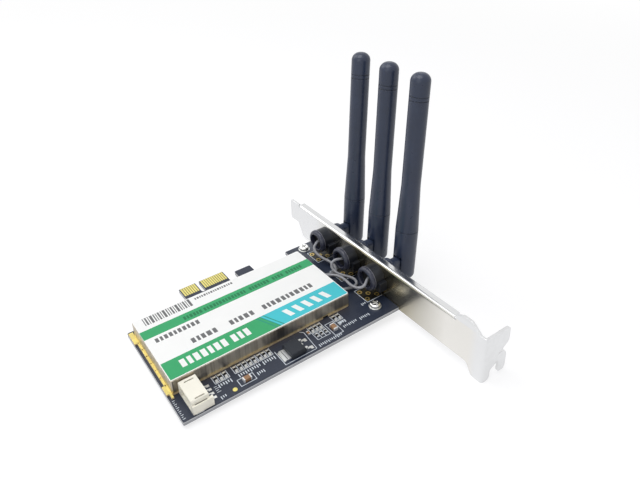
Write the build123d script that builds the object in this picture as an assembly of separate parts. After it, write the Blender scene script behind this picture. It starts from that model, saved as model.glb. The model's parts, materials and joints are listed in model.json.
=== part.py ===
"""Wireless network card for a one-lane expansion slot, with three hinged antennas.

Millimetres. The origin is the middle of the key notch on the edge of the contact tongue, in the
board's component face. +X points along the board to the metal bracket, +Y is the way the tongue
goes into the slot, and +Z leaves the component face.
"""

import math
import os

from build123d import *

# Board
BOARD_T = 1.6
FREE_END = 36.55  # key notch to the board's free end
STRIP_W = 12.6  # shield to the board's near edge
FREE_SETBACK = 12.8  # tongue edge to the board's edge beside the tongue, free end side
BRACKET_GAP = 15.65  # shield to the bracket's inner face
BOARD_GAP = 0.2  # board end to bracket
BOARD_CORNER = 0.5
KEY_W = 1.9
KEY_DEPTH = 7.6
LONG_TONGUE = 11.65
SHORT_TONGUE = 7.65
TOOTH_GAP = 4.4  # tongue to the tooth beside it
TOOTH_W = 7.8
TOOTH_SETBACK = 3.6
RECESS_SETBACK = 9.5
EAR_W = 15.5  # board's ear behind the bracket
EAR_SETBACK = 5.1
TONGUE_BEVEL = 0.4

# Edge contacts
CONTACT_PITCH = 1.0
CONTACT_W = 0.75
CONTACT_L = 5.6
CONTACT_T = 0.05
LONG_COUNT = 11
SHORT_COUNT = 7

# Bracket
SHEET = 0.86
BEND_IN = 0.4  # inner bend radius
FLANGE_TOP = 14.4
FLANGE_W = 3.3
FLANGE_FAR = 5.4
FLANGE_NEAR = -92.6
NECK_END = 12.34
NECK_W = 10.19
NECK_Z = 9.77
NECK_CORNER = 0.9
SHOULDER_Y = 6.4
SHOULDER_RUN = 3.8
CREST_Z = 17.6  # unfolded edge beside the mounting tab
CREST_W = 7.0
CREST_STEP = 1.7
CREST_RUN = 3.2
CREST_CORNER = 1.2
CREST_GAP = 1.2
TAB_Y = -107.66  # outer face of the mounting tab
TAB_L = 12.6
TAB_TOP = 14.1
TAB_CORNER = 1.8
LOBE_Z = -6.3
LOBE_RUN = 7.6
LOBE_SLOPE = 2.7
LOBE_CORNER = 2.0
SLOT_W = 4.3
SLOT_X = 3.9  # bracket's inner face to the slot
SLOT_TOP = 0.6
SLOT_RISE = 2.8  # slant of the slot's roof
SLOT_ROUND = 0.7
SLOT_LIP = 1.4  # rounding of the slot's mouth
NOTCH_TOP = 7.3
NOTCH_Z = 3.4
NOTCH_DEPTH = 5.0
PRONG_L = 12.1
PRONG_LOW = -5.6
PRONG_TOP = 3.7
PRONG_SLOPE = 1.2
PRONG_DROP = 2.1
PRONG_CORNER = 0.5
FOOT_L = 11.6  # bracket feet under the board
FOOT_W = 6.4

# Board screws
SCREW_INSET = 7.3  # bracket face to screw
SCREW_FAR = 8.4  # tongue edge to the far screw
SCREW_EDGE = 6.35  # board's near edge to the near screw
SCREW_R = 1.45
SCREW_HOLE_CLEAR = 0.15
SCREW_TIP = 0.9  # screw below the foot
HEAD_R = 2.25
HEAD_H = 1.5
CROSS_W = 0.65
CROSS_L = 2.7
CROSS_DEPTH = 0.9
PAD_R = 2.6
PAD_T = 0.05

# Plated rings on the board
VIA_INSET = 4.4  # bracket face to the middle of a group of rings
VIA_REACH = 2.54
VIA_R = 1.1
VIA_HOLE_R = 0.5
TEST_PAD_X = -15.7
TEST_PAD_EDGE = 2.1
TEST_PAD_R = 0.9

# Shield and label
SHIELD_L = 78.1
SHIELD_W = 36.9
SHIELD_H = 6.5
SHIELD_FAR = 15.6  # tongue edge to the shield
SHIELD_WALL = 0.3
SHIELD_CORNER = 0.8
BAND_H = 0.9
FRAME_WALL_H = 3.0
BAND_BREAK_X = 31.4
BAND_BREAK_W = 2.4
LEDGE_MARGIN = 0.05  # board's free end to the ledge's ears
LEDGE_HEAD = 1.4  # ledge past the shield's far side
LEDGE_W = 0.85
LEDGE_H = 0.7
LEDGE_EAR_W = 0.95
LEDGE_EAR_FAR = 7.0
LEDGE_EAR_NEAR = 4.4
LEDGE_TAIL = 1.5
LEDGE_HOLES = 7
LEDGE_HOLE_R = 0.28
LABEL_T = 0.1
LABEL_INSET = 0.2
LEAD_GATE_FAR = 28.4
LEAD_GATE_NEAR = 46.0
LEAD_GATE_H = 5.4

# Radio card inside the shield
RADIO_L = 50.95
RADIO_W = 30.0
RADIO_T = 1.0
RADIO_Z = 2.2
RADIO_RIGHT = 12.4  # shield's bracket end to the radio card
RADIO_INSERT = 3.0
SOCKET_L = 6.4
SOCKET_H = 4.4
POST_R = 1.6
POST_PIN_R = 0.8
POST_INSET = 2.6
POST_PIN_OVER = 0.6
RADIO_CAN_L = 26.0
RADIO_CAN_W = 23.0
RADIO_CAN_H = 1.6
RADIO_CAN_INSET = 8.5
PLUG_R = 1.3
PLUG_H = 1.4
PLUG_TAIL = 0.6
PLUG_INSET = 3.2
PLUG_PITCH = 7.0

# Four-way wire header
HEADER_GAP = 0.4  # header to shield
HEADER_D = 6.6
HEADER_H = 5.5
HEADER_EDGE = 0.5  # header to the board's near edge
HEADER_LEFT = 4.2  # header mouth to the board's free end
HEADER_END_W = 1.9
HEADER_STEP_W = 0.8
HEADER_STEP_DROP = 1.8
HEADER_TOE = 1.3
HEADER_TOE_W = 1.2
HEADER_CHAMFER = 0.3
HEADER_WALL = 0.8
HEADER_BACK = 1.6
HEADER_GROOVE_W = 0.5
HEADER_GROOVE_D = 0.6
HEADER_GROOVE_L = 3.6
HEADER_GROOVE_X = 1.8
HEADER_GROOVE_EDGE = 1.35
PIN_PITCH = 2.0
PIN_COUNT = 4
PIN_W = 0.5
PIN_REACH = 4.0
PIN_FOOT = 2.2
PIN_TOP = 2.6
FIX_TAB_W = 1.5
FIX_TAB_L = 3.0
FIX_TAB_T = 0.25

# Voltage regulator
REG_X = 11.3
REG_EDGE = 5.1  # middle of the regulator to the board's near edge
REG_L = 6.2
REG_W = 6.7
REG_H = 2.3
REG_STAND = 0.1
REG_TAB_L = 2.4
REG_TAB_W = 5.4
REG_TAB_T = 0.5
REG_LEAD_W = 0.76
REG_LEAD_T = 0.5
REG_LEAD_L = 2.7
REG_LEAD_PITCH = 4.57
REG_LEAD_Z = 1.0
REG_STUB_L = 0.7

# Chip resistors and capacitors
CHIP_W = 0.95
CHIP_L = 1.9
CHIP_H = 0.5
CHIP_END = 0.4
CHIP_PITCH = 1.95
CHIP_ROW_EDGE = 10.2  # row of resistors to the board's near edge
CHIP_ROW_STARTS = (-19.2, -11.1, -0.9, 22.8, 33.9)
CHIP_ROW_COUNTS = (3, 5, 3, 3, 2)
SECOND_ROW_START = 22.8
SECOND_ROW_COUNT = 3
SECOND_ROW_EDGE = 6.4
CERAMIC_L = 3.2
CERAMIC_W = 1.8
CERAMIC_H = 1.3
CERAMIC_END = 0.5
CERAMIC_ALONG_X = (-10.0, 3.5)
CERAMIC_ALONG_Y = (30.4, 5.9)
SMALL_CERAMIC = (20.8, 9.5)

# Antennas
ANTENNA_COUNT = 3
FAR_SCREW_GAP = 8.45  # far screw to the far antenna
NEAR_SCREW_GAP = 7.7
AXIS_Z = 8.0
LEAN = 3.0  # degrees that the rods lean out
RUN_CLEAR = 0.05  # radial clearance of a turning fit
MOVE_GAP = 0.3  # gap between pieces that move past each other
BARREL_R = 5.0
BARREL_L = 4.6
BARREL_BORE_R = 3.5
BARREL_WALL = 1.2
BARREL_CAP_L = 1.9
BARREL_CAP_R = 5.2
BARREL_CAP_ROUND = 1.2
BARREL_CAP_LIP = 0.4
LUG_L = 3.6
LUG_W = 4.2
LUG_OUT = 1.4
NECK_R = 3.5
STEM_R = 2.4
STEM_HEAD_R = 3.2
STEM_HEAD_L = 1.2
GLAND_L = 1.0
GLAND_GAP = 0.6
COLLAR_R = 4.1
COLLAR_L = 5.0
COLLAR_RIB = 0.3
EYE_R = 3.4
EYE_W = 4.0
EYE_ROUND = 1.8
HINGE_PIN_R = 1.1
HINGE_PIN_L = 8.0
BASE_R = 4.7
BASE_DROP = 7.6
BASE_ROUND = 2.4
SWING_CLEAR = 0.85  # base's swing to the collar
BASE_TOP = 15.8  # tilt hinge to the seam between base and sheath
SHEATH_R = 3.85
FLARE_TOP = 36.0
TIP_START = 74.1
GROOVE_PITCH = 1.6
TIP_L = 8.5
TIP_ROUND = 3.2
SEAM_D = 0.25
SEAM_W = 0.4
BASE_SEAM_D = 0.12
BASE_SEAM_W = 0.25
BORE_R = 2.5
WHIP_R = 0.75
WHIP_SEAT = 3.0
WHIP_GAP = 6.0  # end of the whip to the tip

# Antenna leads
LEAD_R = 0.6
LEAD_RUN_SHARE = 0.45
LEAD_EXITS = (5.4, 5.0, 4.7)  # bracket to each lead's first bend
LEAD_STRAIGHT = 4.4  # crimp to the lead's last bend

OVERCUT = 1.0  # how far a cutting shape reaches past the piece

BOARD_LEFT = -FREE_END
SHIELD_X0 = BOARD_LEFT + LEDGE_MARGIN + LEDGE_EAR_W + LEDGE_W
SHIELD_X1 = SHIELD_X0 + SHIELD_L
SHIELD_Y1 = -SHIELD_FAR
SHIELD_Y0 = SHIELD_Y1 - SHIELD_W
SHIELD_MID_Y = (SHIELD_Y0 + SHIELD_Y1) / 2
BOARD_NEAR = SHIELD_Y0 - STRIP_W
BRACKET_X = SHIELD_X1 + BRACKET_GAP
BOARD_RIGHT = BRACKET_X - BOARD_GAP
BOARD_LOW = -BOARD_T
LONG_END = KEY_W / 2 + LONG_TONGUE
SHORT_END = -KEY_W / 2 - SHORT_TONGUE
BRACKET_OUT = BRACKET_X + SHEET
BEND_OUT = BEND_IN + SHEET
SCREW_NEAR_Y = BOARD_NEAR + SCREW_EDGE
HEADER_L = STRIP_W - HEADER_EDGE - HEADER_GAP
RADIO_X1 = SHIELD_X1 - RADIO_RIGHT
RADIO_X0 = RADIO_X1 - RADIO_L
RADIO_TOP = RADIO_Z + RADIO_T
PLUG_X = RADIO_X1 - PLUG_INSET
LEAD_Z = RADIO_TOP + PLUG_H / 2
BARREL_X0 = BRACKET_X - BARREL_L
CAP_X0 = BARREL_X0 - BARREL_CAP_L
STEM_HEAD_X1 = BRACKET_X - BARREL_WALL - MOVE_GAP
GLAND_X1 = STEM_HEAD_X1 - STEM_HEAD_L - GLAND_GAP
NECK_X1 = BRACKET_OUT + MOVE_GAP
COLLAR_X0 = NECK_X1 + MOVE_GAP
COLLAR_X1 = COLLAR_X0 + COLLAR_L
BASE_SWING = math.hypot(BASE_R - BASE_ROUND, BASE_DROP - BASE_ROUND) + BASE_ROUND
HINGE_X = COLLAR_X1 + SWING_CLEAR + BASE_SWING
ANTENNA_FAR_Y = -SCREW_FAR - FAR_SCREW_GAP
ANTENNA_NEAR_Y = SCREW_NEAR_Y + NEAR_SCREW_GAP
ANTENNA_PITCH = (ANTENNA_FAR_Y - ANTENNA_NEAR_Y) / (ANTENNA_COUNT - 1)
ANTENNA_YS = [ANTENNA_FAR_Y - i * ANTENNA_PITCH for i in range(ANTENNA_COUNT)]
PLUG_YS = [SHIELD_MID_Y + (1 - i) * PLUG_PITCH for i in range(ANTENNA_COUNT)]

parts = {}


def block(x0, x1, y0, y1, z0, z1):
    """Box between two corners."""
    middle = Pos((x0 + x1) / 2, (y0 + y1) / 2, (z0 + z1) / 2)
    return middle * Box(x1 - x0, y1 - y0, z1 - z0)


def rod_x(x0, x1, y, z, radius):
    """Cylinder along X."""
    return extrude(Plane((x0, y, z), z_dir=(1, 0, 0)) * Circle(radius), x1 - x0)


def rod_y(x, y0, y1, z, radius):
    """Cylinder along Y."""
    return extrude(Plane((x, y0, z), z_dir=(0, 1, 0)) * Circle(radius), y1 - y0)


def rod_z(x, y, z0, z1, radius):
    """Cylinder along Z."""
    return extrude(Plane((x, y, z0)) * Circle(radius), z1 - z0)


def outline(points):
    """Flat face from corner points."""
    return make_face(Polyline(*points, close=True))


def rounded(face, corners):
    """Face with the corners nearest to the given points rounded, each by its own radius."""
    for x, y, radius in corners:
        corner = face.vertices().sort_by_distance((x, y, 0))[0]
        face = fillet(corner, radius)
    return face


def carrier_board():
    """Printed board with its contact tongue, the tooth beside it and the ear at the bracket."""
    tooth = LONG_END + TOOTH_GAP
    corners = [
        (BOARD_LEFT, BOARD_NEAR),
        (BOARD_RIGHT, BOARD_NEAR),
        (BOARD_RIGHT, -EAR_SETBACK),
        (BOARD_RIGHT - EAR_W, -EAR_SETBACK),
        (BOARD_RIGHT - EAR_W, -RECESS_SETBACK),
        (tooth + TOOTH_W, -RECESS_SETBACK),
        (tooth + TOOTH_W, -TOOTH_SETBACK),
        (tooth, -TOOTH_SETBACK),
        (tooth, -RECESS_SETBACK),
        (LONG_END, -RECESS_SETBACK),
        (LONG_END, 0),
        (SHORT_END, 0),
        (SHORT_END, -FREE_SETBACK),
        (BOARD_LEFT, -FREE_SETBACK),
    ]
    face = outline(corners)
    ends = [corners[0], corners[6], corners[7], corners[13]]
    face = rounded(face, [(x, y, BOARD_CORNER) for x, y in ends])
    board = extrude(Plane.XY.offset(BOARD_LOW) * face, BOARD_T)
    tip = board.edges().filter_by(Axis.X).group_by(Axis.Y)[-1]
    board = chamfer(tip, TONGUE_BEVEL / 2, TONGUE_BEVEL)
    round_y = KEY_W / 2 - KEY_DEPTH
    board -= block(-KEY_W / 2, KEY_W / 2, round_y, OVERCUT, BOARD_LOW - OVERCUT, OVERCUT)
    board -= rod_z(0, round_y, BOARD_LOW - OVERCUT, OVERCUT, KEY_W / 2)
    for x, y in screw_places():
        board -= rod_z(x, y, BOARD_LOW - OVERCUT, OVERCUT, SCREW_R + SCREW_HOLE_CLEAR)
    return board


def edge_contacts():
    """Gold fingers on both faces of the tongue."""
    long_margin = (LONG_TONGUE - (LONG_COUNT - 1) * CONTACT_PITCH) / 2
    short_margin = (SHORT_TONGUE - (SHORT_COUNT - 1) * CONTACT_PITCH) / 2
    places = [KEY_W / 2 + long_margin + i * CONTACT_PITCH for i in range(LONG_COUNT)]
    places += [-KEY_W / 2 - short_margin - i * CONTACT_PITCH for i in range(SHORT_COUNT)]
    fingers = []
    for x in places:
        for z in (0, BOARD_LOW - CONTACT_T):
            y1 = -TONGUE_BEVEL
            fingers.append(
                block(x - CONTACT_W / 2, x + CONTACT_W / 2, y1 - CONTACT_L, y1, z, z + CONTACT_T)
            )
    return Compound(fingers)


def screw_places():
    """Far and near board screw."""
    x = BRACKET_X - SCREW_INSET
    return [(x, -SCREW_FAR), (x, SCREW_NEAR_Y)]


def bracket():
    """Folded sheet: face, long flange, slotted mounting tab, tongue and two feet."""
    bend_z = FLANGE_TOP - BEND_OUT
    crest_y = FLANGE_NEAR - CREST_GAP
    lobe_y = TAB_Y + LOBE_RUN
    bend_y = TAB_Y + BEND_OUT
    face = outline(
        [
            (NECK_END, NECK_Z + NECK_W / 2),
            (FLANGE_FAR, NECK_Z + NECK_W / 2),
            (FLANGE_FAR, bend_z),
            (FLANGE_NEAR, bend_z),
            (crest_y, bend_z),
            (crest_y, CREST_Z - CREST_STEP),
            (crest_y - CREST_RUN, CREST_Z),
            (crest_y - CREST_W, CREST_Z),
            (bend_y + CREST_GAP, TAB_TOP),
            (bend_y, TAB_TOP),
            (bend_y, LOBE_Z),
            (lobe_y - LOBE_SLOPE, LOBE_Z),
            (lobe_y, BOARD_LOW),
            (SHOULDER_Y - SHOULDER_RUN, BOARD_LOW),
            (SHOULDER_Y, NECK_Z - NECK_W / 2),
            (NECK_END, NECK_Z - NECK_W / 2),
        ]
    )
    face = rounded(
        face,
        [
            (NECK_END, NECK_Z + NECK_W / 2, NECK_CORNER),
            (NECK_END, NECK_Z - NECK_W / 2, NECK_CORNER),
            (crest_y, CREST_Z - CREST_STEP, CREST_CORNER / 2),
            (crest_y - CREST_RUN, CREST_Z, CREST_CORNER),
            (crest_y - CREST_W, CREST_Z, CREST_CORNER),
            (lobe_y, BOARD_LOW, LOBE_CORNER),
            (lobe_y - LOBE_SLOPE, LOBE_Z, LOBE_CORNER),
        ],
    )
    metal = extrude(Plane.YZ.offset(BRACKET_X) * face, SHEET)
    metal += bracket_flange()
    metal += bracket_tab()
    for x, y in screw_places():
        foot_low = BOARD_LOW - SHEET
        y0, y1 = y - FOOT_W / 2, y + FOOT_W / 2
        metal += block(BRACKET_X - FOOT_L, BRACKET_OUT, y0, y1, foot_low, BOARD_LOW)
        metal += block(BRACKET_X, BRACKET_OUT, y0, y1, foot_low, 0)
        metal -= rod_z(x, y, foot_low - OVERCUT, BOARD_LOW + OVERCUT, SCREW_R)
    for y in ANTENNA_YS:
        metal -= rod_x(BRACKET_X - OVERCUT, BRACKET_OUT + OVERCUT, y, AXIS_Z, NECK_R)
    return metal


def bent_strip(run, leg):
    """Section of a right-angle fold at (0, 0): a leg down and a run out, one sheet thick."""
    arc = math.sqrt(0.5)
    path = Polyline((0, -leg), (0, -BEND_OUT))
    path += ThreePointArc(
        (0, -BEND_OUT),
        (BEND_OUT * (1 - arc), -BEND_OUT * (1 - arc)),
        (BEND_OUT, 0),
    )
    path += Polyline((BEND_OUT, 0), (run, 0), (run, -SHEET), (BEND_OUT, -SHEET))
    path += ThreePointArc(
        (BEND_OUT, -SHEET),
        (BEND_OUT - BEND_IN * arc, -BEND_OUT + BEND_IN * arc),
        (SHEET, -BEND_OUT),
    )
    path += Polyline((SHEET, -BEND_OUT), (SHEET, -leg), (0, -leg))
    return make_face(path)


def bracket_flange():
    """Long edge folded outward along the face."""
    section = Plane((BRACKET_X, FLANGE_FAR, FLANGE_TOP), x_dir=(1, 0, 0), z_dir=(0, -1, 0))
    return extrude(section * bent_strip(FLANGE_W, BEND_OUT + SHEET), FLANGE_FAR - FLANGE_NEAR)


def bracket_tab():
    """Mounting tab folded outward, with its screw slot, edge notch and prong."""
    section = Plane((BRACKET_X, TAB_Y, TAB_TOP), x_dir=(1, 0, 0), z_dir=(0, 0, -1))
    fold = extrude(section * bent_strip(BEND_OUT + SHEET, BEND_OUT + SHEET), TAB_TOP - LOBE_Z)
    slot_end = SLOT_X + SLOT_W
    slot_low = SLOT_TOP - SLOT_RISE
    face = outline(
        [
            (BEND_OUT, TAB_TOP),
            (TAB_L, TAB_TOP),
            (TAB_L, NOTCH_TOP),
            (TAB_L - NOTCH_DEPTH, NOTCH_Z),
            (PRONG_L - PRONG_SLOPE, PRONG_TOP),
            (PRONG_L, PRONG_TOP - PRONG_DROP),
            (PRONG_L, PRONG_LOW),
            (slot_end, PRONG_LOW),
            (slot_end, SLOT_TOP),
            (SLOT_X, slot_low),
            (SLOT_X, LOBE_Z),
            (BEND_OUT, LOBE_Z),
        ]
    )
    face = rounded(
        face,
        [
            (TAB_L, TAB_TOP, TAB_CORNER),
            (TAB_L, NOTCH_TOP, TAB_CORNER),
            (PRONG_L - PRONG_SLOPE, PRONG_TOP, PRONG_CORNER),
            (PRONG_L, PRONG_LOW, SLOT_LIP),
            (slot_end, PRONG_LOW, SLOT_LIP),
            (slot_end, SLOT_TOP, SLOT_ROUND),
            (SLOT_X, slot_low, SLOT_ROUND),
            (SLOT_X, LOBE_Z, SLOT_LIP),
        ],
    )
    wall = Plane((BRACKET_X, TAB_Y + SHEET, 0), x_dir=(1, 0, 0), z_dir=(0, -1, 0))
    return fold + extrude(wall * face, SHEET)


def screw(x, y):
    """Pan-head screw with a cross recess, through the board into the foot."""
    seat = PAD_T
    head = rod_z(x, y, seat, seat + HEAD_H, HEAD_R)
    head = fillet(head.edges().group_by(Axis.Z)[-1], HEAD_H / 2)
    shank = rod_z(x, y, BOARD_LOW - SHEET - SCREW_TIP, seat, SCREW_R)
    top = seat + HEAD_H
    for length, width in ((CROSS_L, CROSS_W), (CROSS_W, CROSS_L)):
        bar = Pos(x, y, top) * Box(length, width, 2 * CROSS_DEPTH)
        head -= bar
    return head + shank


def ring(x, y, outer, inner):
    """Flat plated ring on the board."""
    return rod_z(x, y, 0, PAD_T, outer) - rod_z(x, y, -OVERCUT, OVERCUT, inner)


def screw_pads():
    """Tinned rings under the board screws."""
    return Compound([ring(x, y, PAD_R, SCREW_R + SCREW_HOLE_CLEAR) for x, y in screw_places()])


def antenna_pads():
    """Gilt rings of the unused socket places under the antenna barrels, and the test pad."""
    middle = BRACKET_X - VIA_INSET
    offsets = [(0, 0)]
    for side in (-VIA_REACH, VIA_REACH):
        offsets += [(side, -VIA_REACH), (side, VIA_REACH)]
    rings = []
    for y in ANTENNA_YS:
        rings += [ring(middle + dx, y + dy, VIA_R, VIA_HOLE_R) for dx, dy in offsets]
    test_y = BOARD_NEAR + TEST_PAD_EDGE
    rings.append(rod_z(TEST_PAD_X, test_y, 0, PAD_T, TEST_PAD_R))
    return Compound(rings)


def shield_box(inset, z0, z1):
    """Upright prism of the shield's plan, moved in by an inset."""
    face = RectangleRounded(SHIELD_L - 2 * inset, SHIELD_W - 2 * inset, SHIELD_CORNER)
    middle = Plane(((SHIELD_X0 + SHIELD_X1) / 2, SHIELD_MID_Y, z0))
    return extrude(middle * face, z1 - z0)


def lead_gate():
    """Opening in the shield's bracket end for the antenna leads."""
    x0 = SHIELD_X1 - SHIELD_CORNER - 2 * SHIELD_WALL
    return block(x0, SHIELD_X1 + OVERCUT, -LEAD_GATE_NEAR, -LEAD_GATE_FAR, -OVERCUT, LEAD_GATE_H)


def shield_frame():
    """Gilt fence soldered to the board, with the drilled ledge at the free end."""
    frame = shield_box(0, 0, BAND_H) + shield_box(SHIELD_WALL, BAND_H, FRAME_WALL_H)
    frame -= shield_box(2 * SHIELD_WALL, -OVERCUT, FRAME_WALL_H + OVERCUT)
    ledge_x0 = SHIELD_X0 - LEDGE_W
    ear_x0 = ledge_x0 - LEDGE_EAR_W
    near = SHIELD_Y0 + SHIELD_CORNER
    far = SHIELD_Y1 + LEDGE_HEAD
    frame += block(ledge_x0, SHIELD_X0, SHIELD_Y0 - LEDGE_TAIL, far, 0, LEDGE_H)
    frame += block(ear_x0, ledge_x0, far - LEDGE_EAR_FAR, far, 0, LEDGE_H)
    frame += block(ear_x0, ledge_x0, near, near + LEDGE_EAR_NEAR, 0, LEDGE_H)
    first = near + LEDGE_EAR_NEAR
    step = (far - LEDGE_EAR_FAR - first) / (LEDGE_HOLES - 1)
    for i in range(LEDGE_HOLES):
        y = first + i * step
        frame -= rod_z((ledge_x0 + SHIELD_X0) / 2, y, -OVERCUT, LEDGE_H + OVERCUT, LEDGE_HOLE_R)
    x0 = BAND_BREAK_X - BAND_BREAK_W / 2
    frame -= block(x0, x0 + BAND_BREAK_W, SHIELD_Y0 - OVERCUT, SHIELD_Y0 + SHIELD_WALL, -OVERCUT, BAND_H)
    return frame - lead_gate()


def shield_cover():
    """Tinned lid pressed over the fence."""
    lid = shield_box(0, BAND_H, SHIELD_H)
    lid = fillet(lid.edges().group_by(Axis.Z)[-1], SHIELD_WALL)
    lid -= shield_box(SHIELD_WALL, BAND_H - OVERCUT, SHIELD_H - SHIELD_WALL)
    return lid - lead_gate()


def label():
    """Paper label on the lid."""
    return shield_box(LABEL_INSET, SHIELD_H, SHIELD_H + LABEL_T)


def radio_card():
    """Small radio board inside the shield."""
    half = RADIO_W / 2
    card = block(RADIO_X0, RADIO_X1, SHIELD_MID_Y - half, SHIELD_MID_Y + half, RADIO_Z, RADIO_TOP)
    for y in post_ys():
        card -= rod_z(RADIO_X1 - POST_INSET, y, 0, RADIO_TOP + OVERCUT, POST_PIN_R + RUN_CLEAR)
    return card


def post_ys():
    """The two posts that hold the radio card's free end."""
    reach = RADIO_W / 2 - POST_INSET
    return [SHIELD_MID_Y - reach, SHIELD_MID_Y + reach]


def radio_posts():
    """Moulded posts with a peg through the radio card."""
    x = RADIO_X1 - POST_INSET
    posts = []
    for y in post_ys():
        peg = rod_z(x, y, RADIO_Z, RADIO_TOP + POST_PIN_OVER, POST_PIN_R)
        posts.append(rod_z(x, y, 0, RADIO_Z, POST_R) + peg)
    return Compound(posts)


def radio_socket():
    """Edge socket that holds the radio card's contact end."""
    x1 = RADIO_X0 + RADIO_INSERT
    half = RADIO_W / 2 + POST_PIN_R
    body = block(x1 - SOCKET_L, x1, SHIELD_MID_Y - half, SHIELD_MID_Y + half, 0, SOCKET_H)
    slot_half = RADIO_W / 2 + RUN_CLEAR
    slot_y0, slot_y1 = SHIELD_MID_Y - slot_half, SHIELD_MID_Y + slot_half
    body -= block(RADIO_X0, x1 + OVERCUT, slot_y0, slot_y1, RADIO_Z, RADIO_TOP)
    return body


def radio_can():
    """Small can over the radio's chips."""
    x1 = RADIO_X1 - RADIO_CAN_INSET
    half = RADIO_CAN_W / 2
    top = RADIO_TOP + RADIO_CAN_H
    can = block(x1 - RADIO_CAN_L, x1, SHIELD_MID_Y - half, SHIELD_MID_Y + half, RADIO_TOP, top)
    return fillet(can.edges().group_by(Axis.Z)[-1], SHIELD_WALL)


def coax_plug(y):
    """Snap plug on the radio card, with the crimp that takes the lead."""
    plug = rod_z(PLUG_X, y, RADIO_TOP, RADIO_TOP + PLUG_H, PLUG_R)
    return plug + rod_x(PLUG_X, PLUG_X + PLUG_R + PLUG_TAIL, y, LEAD_Z, LEAD_R)


def header_frame():
    """Corners of the wire header's housing: x0, x1, y0, y1."""
    x0 = BOARD_LEFT + HEADER_LEFT
    y0 = BOARD_NEAR + HEADER_EDGE
    return x0, x0 + HEADER_D, y0, y0 + HEADER_L


def header_pin_ys():
    """Places of the header's pins."""
    _, _, y0, y1 = header_frame()
    first = (y0 + y1) / 2 - (PIN_COUNT - 1) * PIN_PITCH / 2
    return [first + i * PIN_PITCH for i in range(PIN_COUNT)]


def header_housing():
    """Side-entry housing with a lower near end, a toe behind it and a mouth towards the free end."""
    x0, x1, y0, y1 = header_frame()
    low = HEADER_H - HEADER_STEP_DROP
    body = block(x0, x1, y0, y1, 0, low)
    body += block(x0, x1, y0 + HEADER_STEP_W, y1, low, HEADER_H)
    body = chamfer(body.edges().filter_by(Axis.X).group_by(Axis.Z)[-1], HEADER_CHAMFER)
    body += block(x1, x1 + HEADER_TOE, y0, y0 + HEADER_TOE_W, 0, low)
    mouth_y0, mouth_y1 = y0 + HEADER_END_W, y1 - HEADER_END_W
    mouth_top = HEADER_H - HEADER_WALL
    body -= block(x0 - OVERCUT, x1 - HEADER_BACK, mouth_y0, mouth_y1, HEADER_WALL, mouth_top)
    for y in (y0 + HEADER_GROOVE_EDGE, y1 - HEADER_GROOVE_EDGE - HEADER_GROOVE_W):
        x = x0 + HEADER_GROOVE_X
        z = HEADER_H - HEADER_GROOVE_D
        body -= block(x, x + HEADER_GROOVE_L, y, y + HEADER_GROOVE_W, z, HEADER_H + OVERCUT)
    for y in header_pin_ys():
        pin_y0, pin_y1 = y - PIN_W / 2, y + PIN_W / 2
        body -= block(x1 - HEADER_BACK - OVERCUT, x1 + OVERCUT, pin_y0, pin_y1, PIN_TOP - PIN_W, PIN_TOP)
    for y in (y0, y1):
        inner = FIX_TAB_W / 2
        body -= block(x0 + HEADER_WALL, x0 + HEADER_WALL + FIX_TAB_L, y - inner, y + inner, 0, FIX_TAB_T)
    return body


def header_pins():
    """Bent contact pins, from the mouth through the back wall to the board."""
    _, x1, _, _ = header_frame()
    pins = []
    for y in header_pin_ys():
        y0, y1 = y - PIN_W / 2, y + PIN_W / 2
        pin = block(x1 - HEADER_BACK - PIN_REACH, x1 + PIN_W, y0, y1, PIN_TOP - PIN_W, PIN_TOP)
        pin += block(x1, x1 + PIN_W, y0, y1, 0, PIN_TOP)
        pin += block(x1, x1 + PIN_FOOT, y0, y1, 0, PIN_W)
        pins.append(pin)
    return Compound(pins)


def header_tabs():
    """Soldered hold-down tabs at the header's ends."""
    x0, _, y0, y1 = header_frame()
    x = x0 + HEADER_WALL
    inner = FIX_TAB_W / 2
    outer = HEADER_EDGE / 2
    return Compound(
        [
            block(x, x + FIX_TAB_L, y0 - outer, y0 + inner, 0, FIX_TAB_T),
            block(x, x + FIX_TAB_L, y1 - inner, y1 + outer, 0, FIX_TAB_T),
        ]
    )


def regulator_body():
    """Moulded regulator with drafted sides."""
    y = BOARD_NEAR + REG_EDGE
    body = Pos(REG_X, y, REG_STAND + REG_H / 2) * Box(REG_L, REG_W, REG_H)
    body = chamfer(body.edges().group_by(Axis.Z)[-1], REG_STAND * 2)
    for piece in (regulator_tab(), regulator_leads()):
        body -= piece
    return body


def regulator_tab():
    """Heat tab under the regulator, showing past its side."""
    y = BOARD_NEAR + REG_EDGE
    x0 = REG_X - REG_L / 2 - REG_TAB_L
    return block(x0, REG_X, y - REG_TAB_W / 2, y + REG_TAB_W / 2, 0, REG_TAB_T)


def regulator_leads():
    """Two bent leads and the cropped middle one."""
    y = BOARD_NEAR + REG_EDGE
    side = REG_X + REG_L / 2
    leads = []
    for offset in (-REG_LEAD_PITCH / 2, REG_LEAD_PITCH / 2):
        y0 = y + offset - REG_LEAD_W / 2
        y1 = y0 + REG_LEAD_W
        knee = side + REG_LEAD_L / 2
        lead = block(side - REG_LEAD_T, knee, y0, y1, REG_LEAD_Z, REG_LEAD_Z + REG_LEAD_T)
        lead += block(knee - REG_LEAD_T, knee, y0, y1, 0, REG_LEAD_Z + REG_LEAD_T)
        lead += block(knee - REG_LEAD_T, side + REG_LEAD_L, y0, y1, 0, REG_LEAD_T)
        leads.append(lead)
    y0 = y - REG_LEAD_W / 2
    y1 = y0 + REG_LEAD_W
    leads.append(block(side - REG_LEAD_T, side + REG_STUB_L, y0, y1, REG_LEAD_Z, REG_LEAD_Z + REG_LEAD_T))
    return Compound(leads)


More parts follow.
